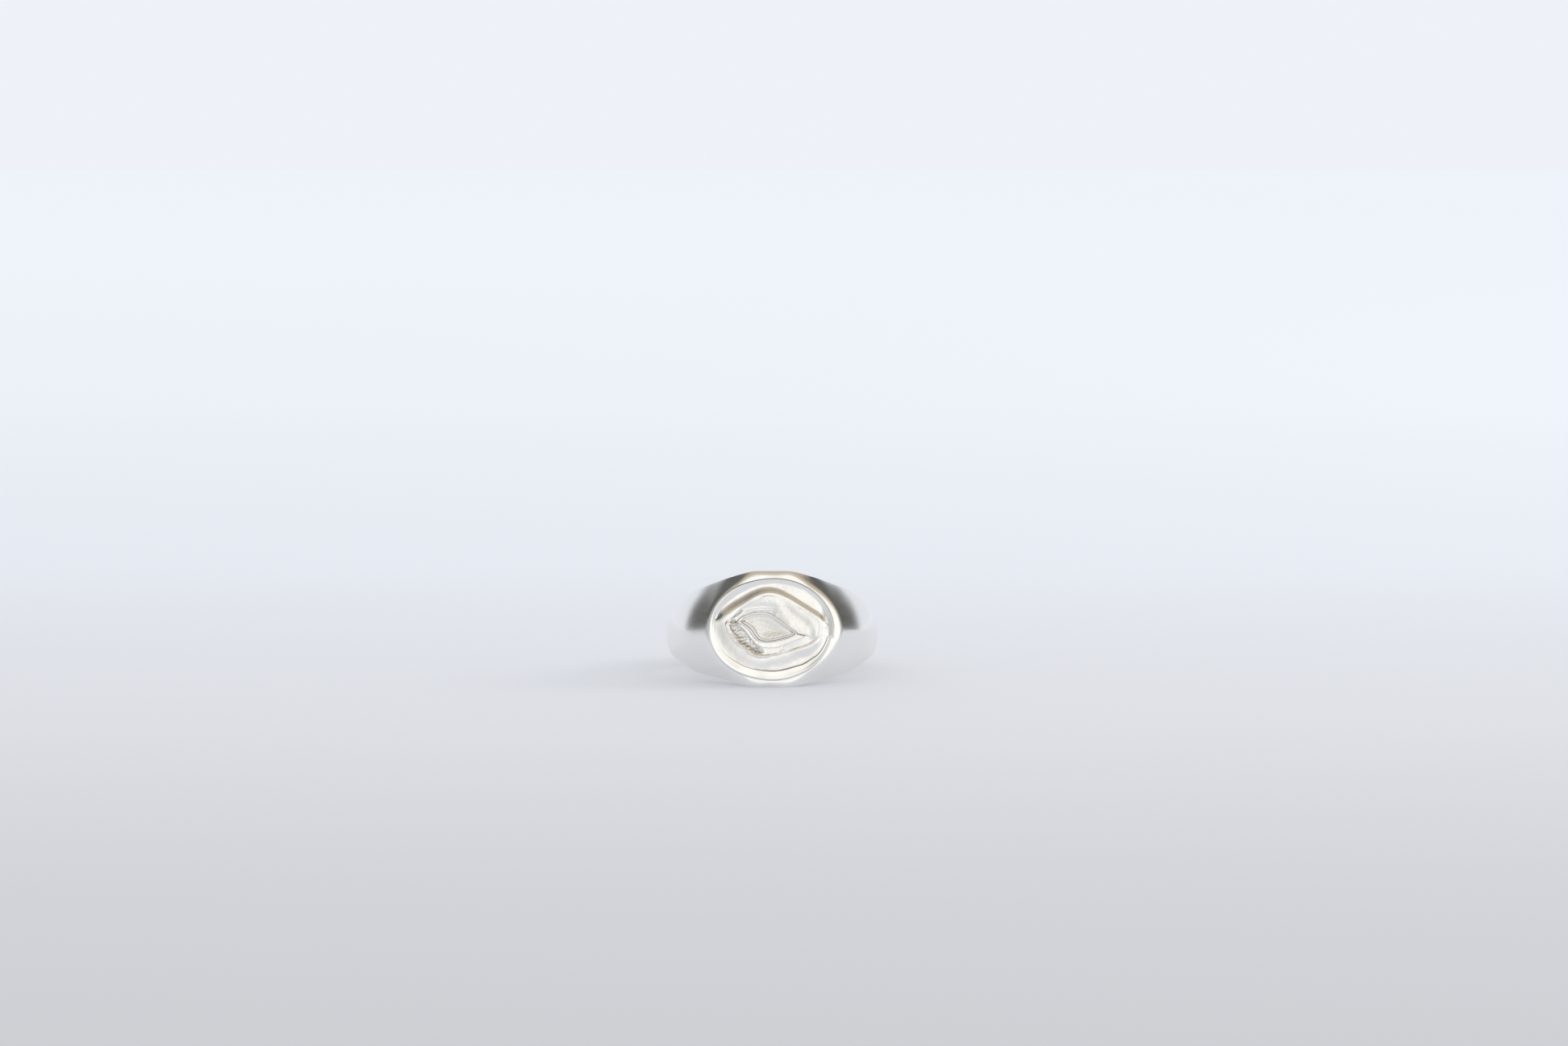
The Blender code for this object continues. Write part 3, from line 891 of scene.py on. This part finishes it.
def face_rise(points):
    """The rise of whatever piece of the face shows at each point."""
    rise = plate_rise(points)
    turn, away = rim_direction(points)
    inward = crease_radius(turn) - away
    on_rim = inward < rim_width(turn)
    rise[on_rim] = rim_profile(np.maximum(inward[on_rim], 0), turn[on_rim])
    for line, rise_of in ((mantle_line, mantle_rise), (lip_line, lip_rise), (core_line, core_rise)):
        here = inside_of(line, points) > 0
        rise[here] = rise_of(points[here])
    return rise


def blurred(field, sigma):
    """A Gaussian blur of a 2-D field, with sigma in cells."""
    reach = int(3 * sigma)
    kernel = np.exp(-0.5 * (np.arange(-reach, reach + 1) / sigma) ** 2)
    kernel /= kernel.sum()
    for axis in (0, 1):
        padding = [(reach, reach) if axis == k else (0, 0) for k in (0, 1)]
        padded = np.pad(field, padding, mode="edge")
        field = np.apply_along_axis(lambda line: np.convolve(line, kernel, "valid"), axis, padded)
    return field


def cavity_map():
    """How deep each place of the face lies below its surroundings, from 0 to 1, on a grid."""
    across = np.arange(-CAVITY_REACH[0], CAVITY_REACH[0], CAVITY_STEP)
    up = np.arange(-CAVITY_REACH[1], CAVITY_REACH[1], CAVITY_STEP)
    grid = np.stack(np.meshgrid(across, up, indexing="ij"), axis=-1)
    rise = face_rise(grid.reshape(-1, 2)).reshape(len(across), len(up))
    return np.clip((blurred(rise, CAVITY_BLUR / CAVITY_STEP) - rise) / CAVITY_DEPTH, 0, 1)


cavities = cavity_map()


def cavity_at(points):
    """The map's value at each point of the face, blended between its cells."""
    place = (points + np.array(CAVITY_REACH)) / CAVITY_STEP
    limit = np.array(cavities.shape) - 2
    low = np.clip(place.astype(int), 0, limit)
    share = np.clip(place - low, 0, 1)
    i, j = low[:, 0], low[:, 1]
    across, up = share[:, 0], share[:, 1]
    near = cavities[i, j] * (1 - up) + cavities[i, j + 1] * up
    far = cavities[i + 1, j] * (1 - up) + cavities[i + 1, j + 1] * up
    return near * (1 - across) + far * across


def relief_piece(node, outer, inner, rows, rise_at, material):
    """A closed collar between two outlines, or a closed lid where there is no inner one."""
    outer = through(outer, RELIEF_COLUMNS, closed=True)
    ring = inner is not None
    if ring:
        inner = through(inner, RELIEF_COLUMNS, closed=True)
    else:
        middle = outer.mean(axis=0)
        inner = middle + LID_CENTRE * (outer - middle)
    grid = np.array([(1 - share) * outer + share * inner for share in np.linspace(0, 1, rows)])
    flat = grid.reshape(-1, 2)
    rise = rise_at(flat).reshape(rows, RELIEF_COLUMNS)
    recess = cavity_at(flat).reshape(rows, RELIEF_COLUMNS)
    base = np.full(RELIEF_COLUMNS, RELIEF_BASE)
    loops = [on_face(grid[0], base)] + [on_face(*pair) for pair in zip(grid, rise)]
    tone = [recess[0], *recess]
    if ring:
        loops.append(on_face(grid[-1], base))
        tone.append(recess[-1])
    piece = skin(f"{node}_visual", loops, ring=ring, recess=np.array(tone), sharp=60)
    return finish_piece(piece, node, material)


def make_relief(silver, cast):
    """The leaf, the lip in it and the core in that, each between its outline and the next."""
    for node, slot, outer, inner, rows, rise_at, material in (
        ("relief_mantle", "polished_silver", MANTLE_OUTLINE, LIP_OUTLINE, 64, mantle_rise, silver),
        ("relief_lip", "polished_silver", LIP_OUTLINE, CORE_OUTLINE, 30, lip_rise, silver),
        ("relief_core", "cast_silver", CORE_OUTLINE, None, 36, core_rise, cast),
    ):
        relief_piece(node, outer, inner, rows, rise_at, material)


# ---------------------------------------------------------------- materials


class Graph:
    """Short calls for building a node tree."""

    def __init__(self, tree):
        self.tree = tree

    def node(self, kind, inputs=None, **settings):
        """A new node, whose inputs are values or other nodes' outputs."""
        made = self.tree.nodes.new(kind)
        for key, value in settings.items():
            setattr(made, key, value)
        for key, value in (inputs or {}).items():
            self.feed(made.inputs[key], value)
        return made

    def feed(self, socket, value):
        if isinstance(value, bpy.types.NodeSocket):
            self.tree.links.new(value, socket)
        else:
            socket.default_value = value

    def spread(self, value, low, high, out_low=0.0, out_high=1.0, **settings):
        """A value put from one range into another, and held at that one's ends."""
        inputs = {
            "Value": value,
            "From Min": low,
            "From Max": high,
            "To Min": out_low,
            "To Max": out_high,
        }
        return self.node("ShaderNodeMapRange", inputs, **settings).outputs["Result"]

    def between(self, value, low, high, out_low=0.0, out_high=1.0):
        """As spread(), but level at both ends."""
        return self.spread(value, low, high, out_low, out_high, interpolation_type="SMOOTHSTEP")

    def math(self, operation, a, b=0.0):
        return self.node("ShaderNodeMath", {0: a, 1: b}, operation=operation).outputs[0]

    def mix(self, factor, a, b):
        inputs = {MIX_FACTOR: factor, MIX_A: a, MIX_B: b}
        return self.node("ShaderNodeMix", inputs, data_type="RGBA").outputs[MIX_RESULT]


class Look(Graph):
    """A material's node tree. Its textures lie in the object's own space, in metres."""

    def __init__(self, name):
        self.material = bpy.data.materials.new(name)
        self.material.use_nodes = True
        super().__init__(self.material.node_tree)
        self.shader = self.tree.nodes["Principled BSDF"]
        self.place = self.node("ShaderNodeTexCoord").outputs["Object"]

    def stretched(self, scale):
        return self.node("ShaderNodeMapping", {"Vector": self.place, "Scale": scale}).outputs[0]

    def noise(self, scale, detail, rough, vector=None, distortion=0.0):
        inputs = {
            "Vector": vector or self.place,
            "Scale": scale,
            "Detail": detail,
            "Roughness": rough,
            "Distortion": distortion,
        }
        return self.node("ShaderNodeTexNoise", inputs).outputs["Fac"]

    def blend(self, a, share_a, b, share_b):
        """The sum of two values, each times its own share."""
        return self.math("ADD", self.math("MULTIPLY", a, share_a), self.math("MULTIPLY", b, share_b))

    def set(self, name, value):
        self.feed(self.shader.inputs[name], value)

    def metal(self, tone, roughness, height, strength, depth):
        """A metal with bumps of that depth in mm."""
        inputs = {"Height": height, "Strength": strength, "Distance": depth * MM}
        self.set("Base Color", tone)
        self.set("Metallic", 1.0)
        self.set("Roughness", roughness)
        self.set("Normal", self.node("ShaderNodeBump", inputs).outputs["Normal"])
        return self.material


def silver_material(name, roughness, haze, grain_depth, scratch_scale):
    """Polished silver: cloudy tone, fine scratches, and darker, rougher recesses."""
    look = Look(name)
    cloud = look.noise(scale=260.0, detail=4.0, rough=0.55)
    fine = look.noise(scale=2600.0, detail=3.0, rough=0.6)
    scratched = look.stretched(scratch_scale)
    scratches = look.noise(scale=1.0, detail=4.0, rough=0.65, vector=scratched, distortion=0.4)
    hollow_breakup = look.noise(scale=1900.0, detail=4.0, rough=0.6)
    # darker and rougher in the hollows of the cavity map, broken up by noise
    recess = look.node("ShaderNodeAttribute", attribute_name="recess").outputs["Fac"]
    in_hollows = look.math("MULTIPLY", recess, look.spread(hollow_breakup, 0.30, 0.62))

    tone = look.mix(look.spread(cloud, 0.35, 0.65), *SILVER_TONES)
    tone = look.mix(look.math("MULTIPLY", in_hollows, HOLLOW_DARKENING), tone, HOLLOW_TONE)
    rough = look.spread(cloud, 0.3, 0.7, roughness, roughness + haze)
    rough = look.math("ADD", rough, look.spread(scratches, 0.50, 0.72, 0.0, SCRATCH_ROUGHNESS))
    rough = look.math("ADD", rough, look.math("MULTIPLY", in_hollows, HOLLOW_ROUGHNESS))
    height = look.blend(scratches, 0.5, fine, 0.5)
    return look.metal(tone, rough, height, strength=1.0, depth=grain_depth)


def cast_material():
    """The relief's middle, left as it came from the mould: fine grain and pits."""
    look = Look("cast_silver_look")
    cloud = look.noise(scale=700.0, detail=4.0, rough=0.6)
    cells = {"Vector": look.place, "Scale": CAST_GRAIN_SCALE, "Randomness": 1.0}
    pits = look.node("ShaderNodeTexVoronoi", cells).outputs["Distance"]
    fine = look.noise(scale=CAST_GRAIN_SCALE, detail=4.0, rough=0.65)
    tone = look.mix(look.spread(cloud, 0.35, 0.65), *CAST_TONES)
    tone = look.mix(look.spread(pits, 0.28, 0.05, 0.0, 0.25), tone, PIT_TONE)
    rough = look.spread(fine, 0.3, 0.7, 0.24, 0.42)
    height = look.blend(pits, 0.6, fine, 0.6)
    return look.metal(tone, rough, height, strength=0.8, depth=CAST_GRAIN_DEPTH)


def solder_material():
    """Hard solder: yellower than the silver, slightly dull, with flow marks."""
    look = Look("hard_solder_look")
    flow = look.noise(scale=1500.0, detail=4.0, rough=0.6)
    tone = look.mix(look.spread(flow, 0.35, 0.65), *SOLDER_TONES)
    rough = look.spread(flow, 0.3, 0.7, 0.18, 0.32)
    return look.metal(tone, rough, flow, strength=0.6, depth=SOLDER_GRAIN_DEPTH)


# ---------------------------------------------------------------- stage, light and camera


def make_floor():
    """One large sheet of pale paper, level with what the ring lies on, with light and shade painted
    into its tone by distance behind the ring and part of that tone given off as a painted glow.
    """
    low = -FLOOR_SIZE / 2
    corners = [(low, low, 0), (-low, low, 0), (-low, -low, 0), (low, -low, 0)]
    mesh = bpy.data.meshes.new("paper")
    mesh.from_pydata(corners, [], [(0, 1, 2, 3)])
    floor = bpy.data.objects.new("paper_floor", mesh)
    bpy.context.scene.collection.objects.link(floor)
    look = Look("paper_painted_light")
    # Painted light: the paper drawn darker or lighter by its distance behind the ring, as light falls
    # on it.
    split = look.node("ShaderNodeSeparateXYZ", {"Vector": look.place})
    first, last = PAINTED_PAPER_LIGHT[0][0], PAINTED_PAPER_LIGHT[-1][0]
    share = look.spread(split.outputs["Y"], first, last)
    painted_light_ramp = look.node("ShaderNodeValToRGB", {"Fac": share})
    stops = painted_light_ramp.color_ramp.elements
    while len(stops) < len(PAINTED_PAPER_LIGHT):
        stops.new(0.5)
    for stop, (distance, colour) in zip(stops, PAINTED_PAPER_LIGHT):
        stop.position = (distance - first) / (last - first)
        stop.color = (*colour, 1)
    away = look.node("ShaderNodeVectorMath", {0: look.place}, operation="LENGTH").outputs["Value"]
    far_painted_light = (*PAINTED_PAPER_LIGHT[-1][1], 1)
    tone = look.mix(look.spread(away, *PAINTED_LIGHT_FADES), painted_light_ramp.outputs["Color"], far_painted_light)
    fibre = look.noise(scale=900.0, detail=4.0, rough=0.6)
    tone = look.mix(look.spread(fibre, 0.3, 0.7, 0.0, 0.03), tone, FIBRE_TONE)
    # Painted glow: part of the tone is given off as light, so shadows on the paper come out lighter.
    look.set("Base Color", look.mix(PAPER_GLOW, tone, (0, 0, 0, 1)))
    look.set("Emission Color", tone)
    look.set("Emission Strength", PAPER_GLOW)
    look.set("Roughness", 0.9)
    look.set("Specular IOR Level", 0.2)
    mesh.materials.append(look.material)


def make_world():
    """A bright front below, a bright backdrop behind, and a dark room at the sides and above.

    The dark is browner towards the front and paler low down. The ring mirrors this room. The
    paper is lit, and seen, as if by one even sky.
    """
    world = bpy.data.worlds.new("studio")
    bpy.context.scene.world = world
    world.use_nodes = True
    world.node_tree.nodes.clear()
    sky = Graph(world.node_tree)
    direction = sky.node("ShaderNodeTexCoord").outputs["Generated"]
    x, y, z = sky.node("ShaderNodeSeparateXYZ", {"Vector": direction}).outputs
    level = sky.math("SQRT", sky.math("ADD", sky.math("MULTIPLY", x, x), sky.math("MULTIPLY", y, y)))
    level = sky.math("MAXIMUM", level, 0.001)
    ahead = sky.math("DIVIDE", y, level)  # -1 in front, 1 behind, at any height
    side = sky.math("DIVIDE", x, level)

    front = sky.math("MULTIPLY", sky.between(ahead, *FRONT_SPAN), sky.between(z, *FRONT_TOP))
    farther = sky.math("SUBTRACT", y, sky.between(x, *BACKDROP_SIDES, *BACKDROP_STARTS))
    behind = sky.math("MULTIPLY", sky.between(farther, *BACKDROP_SPAN), sky.between(z, *BACKDROP_TOP))
    leftwards = sky.math("MULTIPLY", sky.math("MINIMUM", x, 0.0), LEFT_TURN)
    turned_away = sky.math("SUBTRACT", y, leftwards)
    height = sky.math("ADD", z, sky.math("MULTIPLY", y, HEIGHT_SLANT))
    dark = sky.mix(sky.between(turned_away, *DARK_SPAN), *DARK_TONES)
    dark = sky.mix(sky.between(height, *LOW_SPAN), dark, LOW_TONE)
    room = sky.mix(front, dark, sky.mix(sky.between(side, *WINDOW_SPAN), *WINDOW_TONES))
    room = sky.mix(behind, room, BACKDROP_TONE)

    rays = sky.node("ShaderNodeLightPath")
    even = sky.mix(rays.outputs["Is Camera Ray"], *EVEN_TONES)
    mirrored = sky.mix(rays.outputs["Is Glossy Ray"], even, room)
    background = sky.node("ShaderNodeBackground", {"Color": mirrored, "Strength": 1.0})
    sky.node("ShaderNodeOutputWorld", {"Surface": background.outputs[0]})


def make_key_light():
    """A soft lamp low at the right, which lays the ring's shadow to the left."""
    lamp = bpy.data.lights.new("key", "AREA")
    lamp.shape = "DISK"
    lamp.size = LAMP_SIZE
    lamp.energy = LAMP_ENERGY
    lamp.color = LAMP_COLOUR
    key = bpy.data.objects.new("key", lamp)
    key.location = LAMP_PLACE
    key.rotation_euler = (Vector(LAMP_AIM) - key.location).to_track_quat("-Z", "Y").to_euler()
    key.visible_glossy = False
    bpy.context.scene.collection.objects.link(key)


def make_camera():
    """Looks a little down at the face, and beside it, so that it falls where the photograph has it."""
    data = bpy.data.cameras.new("camera")
    data.sensor_width = SENSOR_WIDTH
    data.lens = LENS
    data.clip_start, data.clip_end = CAMERA_CLIP
    camera = bpy.data.objects.new("camera", data)
    bpy.context.scene.collection.objects.link(camera)
    target = POSE @ Vector((0, -(TABLE_DISTANCE + TARGET_RISE) * MM, 0))
    away = Vector((0, -math.cos(CAMERA_ELEVATION), math.sin(CAMERA_ELEVATION)))
    camera.location = target + CAMERA_DISTANCE * away
    aim = (-away).to_track_quat("-Z", "Y").to_matrix()
    right, down = FACE_ASIDE
    turn = Matrix.Rotation(math.atan(right), 3, "Y") @ Matrix.Rotation(math.atan(down), 3, "X")
    camera.rotation_euler = (aim @ turn).to_euler()
    bpy.context.scene.camera = camera


def corners(bounds):
    """A box's two corners as plain lists."""
    return [[float(value) for value in corner] for corner in bounds]


def main():
    bpy.context.scene.view_settings.view_transform = "Standard"
    shoulders, band, rim, plate, relief = (silver_material(*look) for look in SILVER_LOOKS)
    make_head(shoulders)
    make_shank(band)
    make_seams(solder_material())
    make_rim(rim)
    make_plate(plate)
    make_relief(relief, cast_material())
    make_floor()
    make_world()
    make_key_light()
    make_camera()


main()
